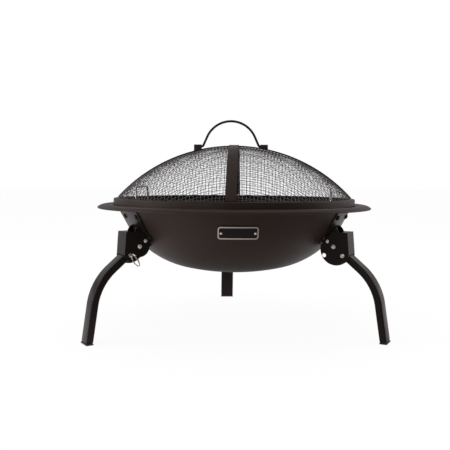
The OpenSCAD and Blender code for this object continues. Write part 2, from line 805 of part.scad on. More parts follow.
module bail() {
    flank_foot = [foot_x - elbow_r * sin(bail_turn), elbow_r * (1 - cos(bail_turn))];
    flank_head = [bail_r * sin(bail_turn), bail_rise - bail_r * (1 - cos(bail_turn))];
    flank = flank_rise / sin(bail_turn);
    foot_len = saddle_w + 2 * joint_len;
    top_turn = bail_turn - asin(fit / bail_r);
    elbow_turn = bail_turn - 2 * asin(fit / elbow_r);
    color(STEEL_BLACK) on_lid() translate([bail_offset, 0, bail_z]) union() {
        translate([0, 0, bail_rise - bail_r]) rotate([90, 0, 0]) rotate([0, 0, 90 - top_turn])
            rotate_extrude(angle = 2 * top_turn) translate([bail_r, 0]) circle(d = bail_wire);
        for (s = [0, 1]) mirror([s, 0, 0]) {
            translate([flank_foot.x, 0, flank_foot.y]) rotate([0, bail_turn - 90, 0])
                translate([0, 0, fit]) cylinder(h = flank - 2 * fit, d = bail_wire);
            translate([foot_x, 0, elbow_r]) rotate([90, 0, 0])
                rotate([0, 0, 270 - bail_turn + asin(fit / elbow_r)])
                    rotate_extrude(angle = elbow_turn) translate([elbow_r, 0]) circle(d = bail_wire);
            translate([foot_x + fit, 0, 0]) rotate([0, 90, 0]) cylinder(h = foot_len, d = bail_wire);
            bail_joint(flank_head.x, flank_head.y, bail_turn - 90);
            bail_joint(flank_foot.x, flank_foot.y, bail_turn - 90);
            bail_joint(foot_x, 0, 90);
        }
    }
}

// Grill

module on_grill() {
    rotate([0, 0, grill_turn]) children();
}

module grill_ring() {
    color(STEEL_BARE) translate([0, 0, grill_z]) rotate_extrude()
        translate([grill_r, 0]) circle(d = grill_ring_wire);
}

module grill_bars() {
    color(STEEL_BARE) on_grill() for (i = [-bars_each_side : bars_each_side]) {
        half = sqrt(pow(grill_r, 2) - pow(abs(i) * bar_pitch + bar_wire / 2, 2));
        translate([i * bar_pitch, 0, bar_z]) rotate([90, 0, 0])
            cylinder(h = 2 * half, d = bar_wire, center = true);
    }
}

module grill_handles() {
    post = handle_h - handle_bend;
    flat = handle_w / 2 - handle_bend;
    color(STEEL_BARE) on_grill() for (s = [0, 180]) rotate([0, 0, s])
        translate([handle_x, 0, handle_foot]) rotate([0, -handle_lean, 0]) {
            for (t = [0, 1]) mirror([0, t, 0]) {
                translate([0, handle_w / 2, 0]) cylinder(h = post, d = handle_wire);
                translate([0, flat, post]) rotate([90, 0, 90])
                    rotate_extrude(angle = 90) translate([handle_bend, 0]) circle(d = handle_wire);
            }
            translate([0, 0, handle_h]) rotate([90, 0, 0])
                cylinder(h = 2 * flat, d = handle_wire, center = true);
        }
}

bowl();
badge_plate();
badge_rivets();
bracket_bolts();
bracket_nuts();
for (leg = LEGS) {
    bracket(leg[1]);
    housing(leg[1]);
    housing_rivet(leg[1]);
    pivot_bolt(leg[1]);
    pivot_nut(leg[1]);
    leg_tube(leg[1]);
    foot_plug(leg[1]);
    lock_pin(leg[1]);
    pin_ring(leg[1]);
}
lid_rim();
mesh_warp();
mesh_weft();
strap_side_to_side();
strap_front_to_back();
saddle(-1);  // saddle_left
saddle(1);  // saddle_right
saddle_rivets();
bail();
grill_ring();
grill_bars();
grill_handles();
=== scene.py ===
import math

import bpy
from mathutils import Matrix, Vector


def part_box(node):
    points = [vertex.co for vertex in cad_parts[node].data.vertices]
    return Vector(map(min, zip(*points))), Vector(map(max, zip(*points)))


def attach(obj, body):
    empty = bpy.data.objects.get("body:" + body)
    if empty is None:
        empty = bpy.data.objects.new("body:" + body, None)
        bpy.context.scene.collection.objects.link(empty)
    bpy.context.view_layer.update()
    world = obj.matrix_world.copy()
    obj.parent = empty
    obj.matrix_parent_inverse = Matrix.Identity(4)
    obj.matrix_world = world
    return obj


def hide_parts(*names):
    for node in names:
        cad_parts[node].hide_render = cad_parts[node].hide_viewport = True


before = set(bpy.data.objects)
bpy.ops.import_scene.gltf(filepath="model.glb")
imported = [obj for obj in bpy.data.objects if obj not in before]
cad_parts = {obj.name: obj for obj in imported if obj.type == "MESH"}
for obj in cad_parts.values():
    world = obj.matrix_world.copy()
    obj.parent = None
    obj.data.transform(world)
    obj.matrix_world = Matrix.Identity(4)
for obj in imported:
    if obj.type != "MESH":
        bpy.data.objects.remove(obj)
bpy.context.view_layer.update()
MM = 0.001


# Studio: a white sweep with soft lamps above, at both sides and low in front on the left, as in
# a catalogue picture. The room behind the camera is dark, so faces turned to it stay black. The
# camera stands low in front, a little to the left, just above the level of the brim.
class Shade:
    """A shader socket that takes part in sums, and adds nodes to its own tree."""

    def __init__(self, tree, socket=None):
        self.tree = tree
        self.socket = socket

    def node(self, kind, settings=None, inputs=None, out=0):
        """Adds a node with its settings, and the values or links of its sockets."""
        made = self.tree.nodes.new(kind)
        for name, setting in (settings or {}).items():
            setattr(made, name, setting)
        for name, value in (inputs or {}).items():
            if isinstance(value, Shade):
                self.tree.links.new(value.socket, made.inputs[name])
            else:
                made.inputs[name].default_value = value
        return Shade(self.tree, made.outputs[out] if made.outputs else None)

    def output(self, name):
        """Another output of this socket's node."""
        return Shade(self.tree, self.socket.node.outputs[name])

    def maths(self, operation, first, second=0.0):
        return self.node("ShaderNodeMath", {"operation": operation}, {0: first, 1: second})

    def mix(self, share, first, second):
        """Two colours, mixed by the share of the second."""
        return self.node("ShaderNodeMix", {"data_type": "RGBA"}, {0: share, 6: first, 7: second}, out=2)

    def eased(self, first, last, start, end):
        """A value that changes smoothly from start to end between two places."""
        return self.node("ShaderNodeMapRange", {"interpolation_type": "SMOOTHSTEP"},
                         {"Value": self, "From Min": first, "From Max": last,
                          "To Min": start, "To Max": end})

    def __add__(self, other):
        return self.maths("ADD", self, other)

    def __radd__(self, other):
        return self.maths("ADD", other, self)

    def __sub__(self, other):
        return self.maths("SUBTRACT", self, other)

    def __rsub__(self, other):
        return self.maths("SUBTRACT", other, self)

    def __mul__(self, other):
        return self.maths("MULTIPLY", self, other)

    def __rmul__(self, other):
        return self.maths("MULTIPLY", other, self)


def emptied(owner):
    """Clears the node tree of a world or a material, and gives a start for new nodes."""
    owner.use_nodes = True
    for node in list(owner.node_tree.nodes):
        owner.node_tree.nodes.remove(node)
    return Shade(owner.node_tree)


scene = bpy.context.scene
scene.view_settings.view_transform = "Standard"
WHITE = (1, 1, 1, 1)
LILAC = (1.0, 0.93, 0.97, 1)
AMBIENT = 0.55
ROOM_DARK = 0.2
ROOM_LIGHT = 0.95
ROOM_TURN = 0.35
GAP = 0.7
GAP_FOOT = (0.05, 0.15)
GAP_HEAD = (0.22, 0.33)
CEILING = (0.42, 0.6)

world = bpy.data.worlds.new("studio")
scene.world = world
sky = emptied(world)
ray = sky.node("ShaderNodeLightPath")
camera_ray = ray.output("Is Camera Ray")
glossy_ray = ray.output("Is Glossy Ray")
way = sky.node("ShaderNodeTexCoord", out="Generated")
parts = sky.node("ShaderNodeSeparateXYZ", None, {"Vector": way})
depth = parts.output("Y")
height = parts.output("Z")
backdrop = depth.eased(-ROOM_TURN, ROOM_TURN, ROOM_DARK, ROOM_LIGHT)
# Reflections show a dark band low over the floor, and a dark ceiling.
low_gap = height.eased(*GAP_FOOT, 0.0, GAP) - height.eased(*GAP_HEAD, 0.0, GAP)
gap = low_gap + height.eased(*CEILING, 0.0, GAP)
strength = AMBIENT + (1 - AMBIENT) * camera_ray + (backdrop * (1 - gap) - AMBIENT) * glossy_ray
tint = sky.mix(glossy_ray, WHITE, LILAC)
background = sky.node("ShaderNodeBackground", None, {"Color": tint, "Strength": strength})
sky.node("ShaderNodeOutputWorld", None, {"Surface": background})

FLOOR_SIZE = 40
CARD_WHITE = (0.9, 0.9, 0.9, 1)
FLOOR_GLOW = 1.05
GLOW_SHARE = 0.88
FRONT_DARK = 0.1
UNDER_PAINTED_SHADOW = 0.35
FAR_DARK = 0.6
bpy.ops.object.select_all(action="DESELECT")
bpy.ops.mesh.primitive_plane_add(size=FLOOR_SIZE)
floor = bpy.context.object
floor.name = "studio_floor"
floor_paint = bpy.data.materials.new("studio_white")
sweep = emptied(floor_paint)
ray = sweep.node("ShaderNodeLightPath")
camera_ray = ray.output("Is Camera Ray")
glossy_ray = ray.output("Is Glossy Ray")
place = sweep.node("ShaderNodeTexCoord", out="Object")
parts = sweep.node("ShaderNodeSeparateXYZ", None, {"Vector": place})
across = parts.output("X")
depth = parts.output("Y")
distance = sweep.maths("SQRT", across * across + depth * depth)
# In reflections the sweep's glow is painted with light and shade: darker in front and towards the
# right, as if lit from the left, a painted shadow of the bowl under it, and darker far away.
lit = (depth - 0.5 * across).eased(-0.55, -0.05, FRONT_DARK, 1.0)
lit = lit * distance.eased(0.1, 0.4, UNDER_PAINTED_SHADOW, 1.0)
lit = lit * distance.eased(0.5, 1.2, 1.0, FAR_DARK)
card = sweep.node("ShaderNodeBsdfDiffuse", None, {"Color": CARD_WHITE})
tint = sweep.mix(glossy_ray, WHITE, LILAC)
glow = sweep.node("ShaderNodeEmission", None,
                  {"Color": tint, "Strength": FLOOR_GLOW * camera_ray + lit * glossy_ray})
# The camera sees a small share of the card under the glow, which keeps a faint shadow.
mixed = sweep.node("ShaderNodeMixShader", None,
                   {0: GLOW_SHARE * camera_ray + glossy_ray, 1: card, 2: glow})
sweep.node("ShaderNodeOutputMaterial", None, {"Surface": mixed})
floor.data.materials.append(floor_paint)

LAMPS = (
    ("lamp_top", (0.0, 0.2, 2.4), (0, 0, 0.2), 2.2, 4),
    ("lamp_left", (-2.4, -0.5, 1.0), (0, 0, 0.2), 1.4, 22),
    ("lamp_right", (2.4, 0.4, 1.0), (0, 0, 0.2), 1.2, 12),
    ("lamp_front", (-1.5, -2.6, 0.5), (0, 0, 0.15), 0.5, 5),
)
for name, place, target, width, power in LAMPS:
    bpy.ops.object.light_add(type="AREA", location=place)
    lamp = bpy.context.object
    lamp.name = name
    lamp.data.shape = "SQUARE"
    lamp.data.size = width
    lamp.data.energy = power
    aim = Vector(target) - Vector(place)
    lamp.rotation_euler = aim.to_track_quat("-Z", "Y").to_euler()

HEADING = math.radians(2.16)
PITCH = math.radians(4.13)
ROLL = math.radians(0.35)
CAMERA_AT = (-68.3, -1325.9, 305.6)
SENSOR = 36
LENS = 50.905
NEAREST = 0.05
level = Vector((math.cos(HEADING), -math.sin(HEADING), 0))
ahead = Vector((math.sin(HEADING) * math.cos(PITCH),
                math.cos(HEADING) * math.cos(PITCH), -math.sin(PITCH)))
above = level.cross(ahead)
right = math.cos(ROLL) * level + math.sin(ROLL) * above
above = math.cos(ROLL) * above - math.sin(ROLL) * level
bpy.ops.object.camera_add()
camera = bpy.context.object
camera.matrix_world = Matrix((
    (right.x, above.x, -ahead.x, CAMERA_AT[0] * MM),
    (right.y, above.y, -ahead.y, CAMERA_AT[1] * MM),
    (right.z, above.z, -ahead.z, CAMERA_AT[2] * MM),
    (0, 0, 0, 1),
))
camera.data.sensor_width = SENSOR
camera.data.lens = LENS
camera.data.clip_start = NEAREST
scene.camera = camera


# Bowl: one spun steel sheet, painted with satin heat-resistant black. The brim rises from the
# mouth, bends over a rounded crest and falls to its edge, which is rolled under into a bead.
def coating(name, sockets):
    """A new material with plain values on its shader, and a start for its nodes."""
    made = bpy.data.materials.new(name)
    made.use_nodes = True
    surface = next(n for n in made.node_tree.nodes if n.type == "BSDF_PRINCIPLED")
    for socket, value in sockets.items():
        surface.inputs[socket].default_value = value
    return made, surface, Shade(made.node_tree)


def feed(surface, tone, rough, skin):
    """Links a colour, a roughness and a bump to a shader."""
    for socket, value in (("Base Color", tone), ("Roughness", rough), ("Normal", skin)):
        value.tree.links.new(value.socket, surface.inputs[socket])


def paint(name, dark, light, gloss, grain, sockets):
    """Black stove paint: two close tones in soft clouds, uneven gloss and a fine orange peel."""
    made, surface, start = coating(name, sockets)
    place = start.node("ShaderNodeTexCoord", out="Object")
    cloud = start.node("ShaderNodeTexNoise", None, {"Vector": place, "Scale": 9.0, "Detail": 4.0})
    smear = start.node("ShaderNodeTexNoise", None, {"Vector": place, "Scale": 55.0, "Detail": 3.0})
    peel = start.node("ShaderNodeTexNoise", None, {"Vector": place, "Scale": 1500.0, "Detail": 1.0})
    tone = start.mix(cloud, (*dark, 1), (*light, 1))
    rough = gloss + 0.10 * cloud + 0.08 * smear
    skin = start.node("ShaderNodeBump", None,
                      {"Strength": grain, "Distance": 0.0002, "Height": peel})
    feed(surface, tone, rough, skin)
    return made


def finish_piece(piece, body, slot, material, *nodes):
    """Gives a piece its paint and its place among the bodies."""
    piece.data.materials.clear()
    piece.data.materials.append(material)
    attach(piece, body)
    if nodes:
        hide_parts(*nodes)


def pick(piece):
    """Selects one piece alone, and makes it the active one."""
    bpy.ops.object.select_all(action="DESELECT")
    piece.select_set(True)
    bpy.context.view_layer.objects.active = piece


def alter(piece, kind, **settings):
    """Adds one modifier to a piece and applies it."""
    pick(piece)
    made = piece.modifiers.new(kind.lower(), kind)
    for name, value in settings.items():
        setattr(made, name, value)
    bpy.ops.object.modifier_apply(modifier=made.name)


def smooth(piece, degrees):
    """Shades a piece smooth, apart from its sharper edges."""
    pick(piece)
    bpy.ops.object.shade_smooth_by_angle(angle=math.radians(degrees))


def arc(centre, radius, first, last, steps):
    """Points on an arc, in degrees from the first direction to the last."""
    angles = [math.radians(first + (last - first) * i / steps) for i in range(steps + 1)]
    return [(centre[0] + radius * math.cos(a), centre[1] + radius * math.sin(a)) for a in angles]


def traced(name, outline):
    """Edges along an outline in the plane of X and Z, in millimetres, left open in edit mode."""
    bpy.ops.object.select_all(action="DESELECT")
    bpy.ops.mesh.primitive_plane_add(size=MM)
    piece = bpy.context.object
    piece.name = name
    bpy.ops.object.mode_set(mode="EDIT")
    bpy.ops.mesh.merge(type="CENTER")
    start = Vector((outline[0][0], 0, outline[0][1])) * MM
    bpy.ops.transform.translate(value=start)
    for before, after in zip(outline, outline[1:]):
        step = Vector((after[0] - before[0], 0, after[1] - before[1])) * MM
        bpy.ops.mesh.extrude_vertices_move(TRANSFORM_OT_translate={"value": step})
    bpy.ops.mesh.select_all(action="SELECT")
    return piece


AROUND = 144
WELD = 0.02


def spun(name, outline):
    """Spins an outline of radius and height round the upright axis."""
    piece = traced(name, outline)
    bpy.ops.mesh.spin(steps=AROUND, angle=2 * math.pi, center=(0, 0, 0), axis=(0, 0, 1))
    bpy.ops.mesh.select_all(action="SELECT")
    bpy.ops.mesh.remove_doubles(threshold=WELD * MM)
    bpy.ops.mesh.normals_make_consistent(inside=False)
    bpy.ops.object.mode_set(mode="OBJECT")
    return piece


satin = paint("satin_stove_paint", (0.0215, 0.0130, 0.0104), (0.0273, 0.0175, 0.0143), 0.40, 0.25,
              {"Specular IOR Level": 0.3, "Specular Tint": (1.0, 0.82, 0.74, 1)})

SHEET = 1.5
FLOOR_C = (0.0, 573.0)
FLOOR_R = 458
WALL_C = (68.47, 296.34)
WALL_R = 173.0
KNUCKLE = -76.1
WALL_SLOPE = 61.4
SHOULDER = (220.36, 213.53)
FOLD_R = 3.0
LAND_RISE = 5.83
CREST_C = (264.41, 231.6)
CREST_R = 23.0
EDGE_TURN = 51.54
BEAD_C = (277.6, 248.2)
BEAD_R = 1.8
BEAD_TURN = (EDGE_TURN - 15, -190)


def wall_at(z):
    """Outside radius of the bowl at a height, on the wall's arc or on its straight part."""
    if z > SHOULDER[1]:
        return SHOULDER[0] + (z - SHOULDER[1]) / math.tan(math.radians(WALL_SLOPE))
    return WALL_C[0] + math.sqrt(WALL_R ** 2 - (WALL_C[1] - z) ** 2)


slope = math.radians(WALL_SLOPE)
rise = math.radians(LAND_RISE)
land = arc(CREST_C, CREST_R - SHEET, 90 + LAND_RISE, EDGE_TURN, 10)
share = math.tan(rise) / math.tan(slope)
corner_r = wall_at(land[0][1] - land[0][0] * math.tan(rise)) / (1 - share)
corner_z = land[0][1] + (corner_r - land[0][0]) * math.tan(rise)
tangent = FOLD_R * math.tan((slope - rise) / 2)
fold_c = (corner_r - tangent * math.cos(slope) + FOLD_R * math.sin(slope),
          corner_z - tangent * math.sin(slope) - FOLD_R * math.cos(slope))
outline = arc(FLOOR_C, FLOOR_R, -90, KNUCKLE, 10)[:-1]
outline += arc(WALL_C, WALL_R, KNUCKLE, WALL_SLOPE - 90, 24)
outline += arc(fold_c, FOLD_R, 90 + WALL_SLOPE, 90 + LAND_RISE, 5) + land
outline += arc(BEAD_C, BEAD_R - SHEET, *BEAD_TURN, 12)
bowl = spun("bowl_shell", outline)
lowest = min(bowl.data.polygons, key=lambda p: p.center.z)
alter(bowl, "SOLIDIFY", thickness=SHEET * MM, offset=-1 if lowest.normal.z < 0 else 1)
smooth(bowl, 40)
finish_piece(bowl, "bowl_body", "satin_paint", satin, "bowl")


# Lid rim: a rolled steel band with a flat flange turned inwards, which carries the mesh.
# It stands loose on the brim of the bowl, and has the same paint.
RIM_R = 247.3
RIM_Z = 253.27
FLANGE_Z = 266.47
FLANGE_IN = 233.3
RIM_BEND = 2.2
RIM_EDGE = (0.6, 0.5)
FLANGE_EDGE = (0.8, 0.4)
outline = [(RIM_R - RIM_EDGE[0], RIM_Z), (RIM_R, RIM_Z + RIM_EDGE[1]), (RIM_R, FLANGE_Z - RIM_BEND)]
outline += arc((RIM_R - RIM_BEND, FLANGE_Z - RIM_BEND), RIM_BEND, 15, 90, 5)
outline += [(FLANGE_IN + FLANGE_EDGE[0], FLANGE_Z), (FLANGE_IN, FLANGE_Z - FLANGE_EDGE[1])]
rim = spun("lid_band", outline)
outermost = max(rim.data.polygons, key=lambda p: p.center.xy.length)
facing = outermost.normal.xy.dot(outermost.center.xy)
alter(rim, "SOLIDIFY", thickness=SHEET * MM, offset=-1 if facing > 0 else 1)
smooth(rim, 40)
finish_piece(rim, "lid", "satin_paint", satin, "lid_rim")


# Mesh dome: woven black steel wire, pressed to a shallow dome and held by the flange.
# Each wire runs over and under the ones that it crosses.
def tubes(name, runs, radius, rounds):
    """Round wires of one radius along runs of points in millimetres, as one mesh."""
    path = bpy.data.curves.new(name, "CURVE")
    path.dimensions = "3D"
    path.bevel_depth = radius * MM
    path.bevel_resolution = rounds
    path.use_fill_caps = True
    for run, closed in runs:
        spline = path.splines.new("POLY")
        spline.points.add(len(run) - 1)
        for point, place in zip(spline.points, run):
            point.co = (place[0] * MM, place[1] * MM, place[2] * MM, 1)
        spline.use_cyclic_u = closed
    piece = bpy.data.objects.new(name, path)
    scene.collection.objects.link(piece)
    pick(piece)
    bpy.ops.object.convert(target="MESH")
    piece = bpy.context.object
    piece.name = name
    return piece


LID_TURN = math.radians(-4.2)


def on_lid(x, y, z):
    """A point of the lid, turned as the lid stands on the bowl."""
    return (x * math.cos(LID_TURN) - y * math.sin(LID_TURN),
            x * math.sin(LID_TURN) + y * math.cos(LID_TURN), z)


# The wire's dark grey tone, lighter than the black paint elsewhere, is partly the steel's own colour
# and partly painted sheen for the light that the thin wires catch.
wire_paint = paint("mesh_wire_black", (0.105, 0.092, 0.096), (0.145, 0.129, 0.134), 0.34, 0.1, {})
DOME_R = 324.0
DOME_Z = 46.74
WIRE_PITCH = 6.6
WIRE_R = 0.40
WEAVE = 0.5
BASE_R = 238.1
EDGE_ROOM = 0.3
count = int(BASE_R / WIRE_PITCH - EDGE_ROOM)
for name, node, flip in (("mesh_woven_across", "mesh_warp", 0), ("mesh_woven_along", "mesh_weft", 1)):
    runs = []
    for i in range(-count, count + 1):
        offset = i * WIRE_PITCH
        half = math.sqrt(BASE_R ** 2 - offset ** 2)
        steps = int(half / WIRE_PITCH)
        stations = [-half] + [j * WIRE_PITCH for j in range(-steps, steps + 1)] + [half]
        run = []
        for k, along in enumerate(stations):
            end = k in (0, len(stations) - 1)
            over = (i + round(along / WIRE_PITCH) + flip) % 2
            wave = 0 if end else WEAVE * (1 if over else -1)
            z = DOME_Z + math.sqrt((DOME_R + wave) ** 2 - along ** 2 - offset ** 2)
            z = max(z, FLANGE_Z + WIRE_R)
            run.append(on_lid(offset, along, z) if flip else on_lid(along, offset, z))
        runs.append((run, False))
    wires = tubes(name, runs, WIRE_R, 0)
    smooth(wires, 60)
    finish_piece(wires, "lid", "mesh_wire", wire_paint, node)


# Straps: two flat steel bands over the dome, crossed at the top, which hold the mesh down
# on the rim. The one from front to back lies over the other.
STRAP_W = 20.0
STRAP_T = 2.0
STRAP_EDGE = 0.35
STRAP_STEPS = 56
STRAP_FOOT = FLANGE_Z + 0.3
UNDER_STRAP_R = 325.7
OVER_STRAP_R = 327.2
for name, node, radius, turn in (
    ("strap_band_across", "strap_side_to_side", UNDER_STRAP_R, 0),
    ("strap_band_along", "strap_front_to_back", OVER_STRAP_R, math.pi / 2),
):
    half = math.acos((STRAP_FOOT - DOME_Z) / radius)
    middle = (0, 0, DOME_Z * MM)
    bpy.ops.object.select_all(action="DESELECT")
    bpy.ops.mesh.primitive_plane_add(size=STRAP_W * MM)
    strap = bpy.context.object
    strap.name = name
    bpy.ops.object.mode_set(mode="EDIT")
    bpy.ops.transform.resize(value=(0, 1, 1), center_override=(0, 0, 0))
    bpy.ops.mesh.remove_doubles(threshold=WELD * MM)
    bpy.ops.transform.translate(value=(0, 0, (DOME_Z + radius) * MM))
    bpy.ops.transform.rotate(value=half, orient_axis="Y", center_override=middle)
    strap.update_from_editmode()
    side = -1 if strap.data.vertices[0].co.x < 0 else 1
    bpy.ops.mesh.select_all(action="SELECT")
    bpy.ops.mesh.spin(steps=STRAP_STEPS, angle=side * 2 * half, center=middle, axis=(0, 1, 0))
    bpy.ops.mesh.select_all(action="SELECT")
    bpy.ops.mesh.normals_make_consistent(inside=False)
    bpy.ops.transform.rotate(value=-(LID_TURN + turn), orient_axis="Z", center_override=(0, 0, 0))
    bpy.ops.object.mode_set(mode="OBJECT")
    facing = max(strap.data.polygons, key=lambda p: p.center.z).normal.z
    alter(strap, "SOLIDIFY", thickness=STRAP_T * MM, offset=1 if facing > 0 else -1)
    alter(strap, "BEVEL", width=STRAP_EDGE * MM, segments=2, limit_method="ANGLE")
    smooth(strap, 40)
    finish_piece(strap, "lid", "satin_paint", satin, node)


# Bail and saddles: a round wire handle, bent out at its feet, which turn in two small
# pressed saddles. Each saddle is riveted to the strap from both sides of its arch.
def dressed(name, node, width):
    """A copy of a plain CAD piece with its sharp edges eased."""
    piece = bpy.data.objects.new(name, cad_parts[node].data.copy())
    scene.collection.objects.link(piece)
    pick(piece)
    bpy.ops.mesh.customdata_custom_splitnormals_clear()
    bpy.ops.object.mode_set(mode="EDIT")
    bpy.ops.mesh.select_all(action="SELECT")
    bpy.ops.mesh.remove_doubles(threshold=0.01 * MM)
    bpy.ops.mesh.dissolve_limited(angle_limit=math.radians(0.5))
    bpy.ops.object.mode_set(mode="OBJECT")
    alter(piece, "BEVEL", width=width * MM, segments=2, limit_method="ANGLE",
          angle_limit=math.radians(40))
    smooth(piece, 35)
    return piece


def repaint(node, material):
    """Gives a CAD piece, which keeps its shape, a finish."""
    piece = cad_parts[node]
    piece.data.materials.clear()
    piece.data.materials.append(material)


def metal(name, dull, bright, gloss, scratch, metallic=1.0):
    """Plated steel: two close tones, uneven gloss and fine handling marks."""
    made, surface, start = coating(name, {"Metallic": metallic})
    place = start.node("ShaderNodeTexCoord", out="Object")
    cloud = start.node("ShaderNodeTexNoise", None, {"Vector": place, "Scale": 260.0, "Detail": 5.0})
    marks = start.node("ShaderNodeTexNoise", None, {"Vector": place, "Scale": 2400.0, "Detail": 2.0})
    tone = start.mix(cloud, (*dull, 1), (*bright, 1))
    rough = gloss + 0.16 * cloud + 0.06 * marks
    skin = start.node("ShaderNodeBump", None,
                      {"Strength": scratch, "Distance": 0.0001, "Height": marks})
    feed(surface, tone, rough, skin)
    return made


BAIL_Z = 372.86
BAIL_OFFSET = -7.0
BAIL_RISE = 52.0
BAIL_R = 54.0
BAIL_TURN = 66.0
BAIL_WIRE = 4.8
ELBOW_R = 5.0
FOOT_X = 61.47
FOOT_LENGTH = 14.4
half_bail = [(x, z + BAIL_RISE - BAIL_R) for x, z in arc((0, 0), BAIL_R, 90, 90 - BAIL_TURN, 24)]
half_bail += arc((FOOT_X, ELBOW_R), ELBOW_R, 270 - BAIL_TURN, 270, 8)
half_bail.append((FOOT_X + FOOT_LENGTH, 0))
whole = [(-x, z) for x, z in reversed(half_bail)] + half_bail[1:]
run = [on_lid(BAIL_OFFSET + x, 0, BAIL_Z + z) for x, z in whole]
bail = tubes("bail_wire", [(run, False)], BAIL_WIRE / 2, 4)
smooth(bail, 60)
finish_piece(bail, "bail", "satin_paint", satin, "bail")

SADDLE_STRETCH = 1.3
for side in ("left", "right"):
    saddle = dressed(f"saddle_pressed_{side}", f"saddle_{side}", 0.3)
    low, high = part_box(f"saddle_{side}")
    middle = Matrix.Translation((Vector(low) + Vector(high)) / 2) @ Matrix.Rotation(LID_TURN, 4, "Z")
    saddle.data.transform(middle @ Matrix.Diagonal((SADDLE_STRETCH, 1, 1, 1)) @ middle.inverted())
    finish_piece(saddle, "lid", "satin_paint", satin, f"saddle_{side}")
repaint("saddle_rivets", satin)


# Grill: a chromed wire ring with straight bars welded across it, and two tall wire handles
# that reach up towards the mesh. It lies loose on the wall of the bowl.
chrome = metal("grill_chrome", (0.60, 0.56, 0.48), (0.78, 0.74, 0.66), 0.12, 0.05)
GRILL_TURN = math.radians(-12.6)
GRILL_R = 206.0
GRILL_Z = 199.52
RING_WIRE = 6.0
BAR_WIRE = 4.0
BAR_PITCH = 20.0
BAR_Z = GRILL_Z + (RING_WIRE + BAR_WIRE) / 2
BARS_EACH_SIDE = 9
BAR_STEPS = 6
BAR_EDGE = 0.5
HANDLE_W = 80.0
HANDLE_H = 86.0
HANDLE_BEND = 9.0
HANDLE_LEAN = math.radians(2)


def on_grill(x, y, z):
    """A point of the grill, turned as it lies in the bowl."""
    return (x * math.cos(GRILL_TURN) - y * math.sin(GRILL_TURN),
            x * math.sin(GRILL_TURN) + y * math.cos(GRILL_TURN), z)


loop = [(x, y, GRILL_Z) for x, y in arc((0, 0), GRILL_R, 0, 360, AROUND)[:-1]]
ring = tubes("grill_hoop", [(loop, True)], RING_WIRE / 2, 3)
smooth(ring, 60)
finish_piece(ring, "grill", "grill_chrome", chrome, "grill_ring")

runs = []
for i in range(-BARS_EACH_SIDE, BARS_EACH_SIDE + 1):
    edge = abs(i) * BAR_PITCH + BAR_WIRE / 2
    reach = math.sqrt(GRILL_R ** 2 - edge ** 2)
    stations = [-reach + reach * k / BAR_STEPS for k in range(2 * BAR_STEPS + 1)]
    runs.append(([on_grill(i * BAR_PITCH, y, BAR_Z) for y in stations], False))
bars = tubes("grill_rods", runs, BAR_WIRE / 2, 2)
alter(bars, "BEVEL", width=BAR_EDGE * MM, segments=2, limit_method="ANGLE",
      angle_limit=math.radians(60))
smooth(bars, 50)
finish_piece(bars, "grill", "grill_chrome", chrome, "grill_bars")

flat = HANDLE_W / 2 - HANDLE_BEND
post = HANDLE_H - HANDLE_BEND
half_handle = [(0, HANDLE_H)] + arc((flat, post), HANDLE_BEND, 90, 0, 8) + [(HANDLE_W / 2, 0)]
whole = [(-y, z) for y, z in reversed(half_handle)] + half_handle[1:]
foot = math.sqrt(GRILL_R ** 2 - (HANDLE_W / 2) ** 2)
runs = []
for s in (1, -1):
    run = [on_grill(s * (foot - z * math.sin(HANDLE_LEAN)), y,
                    GRILL_Z + RING_WIRE / 2 + z * math.cos(HANDLE_LEAN)) for y, z in whole]
    runs.append((run, False))
handles = tubes("grill_lifting_handles", runs, BAR_WIRE / 2, 3)
smooth(handles, 60)
finish_piece(handles, "grill", "grill_chrome", chrome, "grill_handles")


# Brackets: a base plate bent to the bowl's wall, with two ears, in gloss black. Black button
# bolts hold it, with bright nuts inside the bowl.
gloss = paint("gloss_stove_paint", (0.0092, 0.0078, 0.0068), (0.0132, 0.0113, 0.0098), 0.20, 0.05,
              {"Specular IOR Level": 0.17, "Specular Tint": (0.95, 0.74, 0.72, 1),
               "Coat Tint": (1.0, 0.86, 0.84, 1), "Coat Weight": 0.03, "Coat Roughness": 0.12})
zinc = metal("bright_zinc", (0.56, 0.55, 0.52), (0.90, 0.89, 0.82), 0.22, 0.15, 0.3)
LEGS = (("back", 90), ("left", 210), ("right", 330))
ALONG_X = 0
BACK = 90


def on_each_leg(piece, turned, stem, body, slot, material, nodes):
    """Copies a piece to the three legs, from the direction in which it was made."""
    for leg, turn in LEGS:
        made = bpy.data.objects.new(f"{stem}_{leg}", piece.data.copy())
        scene.collection.objects.link(made)
        made.data.transform(Matrix.Rotation(math.radians(turn - turned), 4, "Z"))
        carrier = body if body == "bowl_body" else f"{body}_{leg}"
        finish_piece(made, carrier, slot, material, *[f"{node}_{leg}" for node in nodes])
    bpy.data.objects.remove(piece)


bracket = dressed("bracket_pattern", "bracket_back", 0.45)
alter(bracket, "WEIGHTED_NORMAL", keep_sharp=True)
on_each_leg(bracket, BACK, "bracket_plate", "bowl_body", "gloss_paint", gloss, ("bracket",))
repaint("bracket_bolts", gloss)
repaint("bracket_nuts", zinc)


# Housings: a folded steel box over each leg's head, with one large round cheek that has both
# lock holes and one smaller cheek on the ring's side. A bright rivet keeps it on the ears.
SLIM = 0.82


def slimmed(piece, y, z):
    """Thins a fastener towards its axis along X, which is given in metres."""
    axis = Matrix.Translation((0, y, z))
    piece.data.transform(axis @ Matrix.Diagonal((1, SLIM, SLIM, 1)) @ axis.inverted())


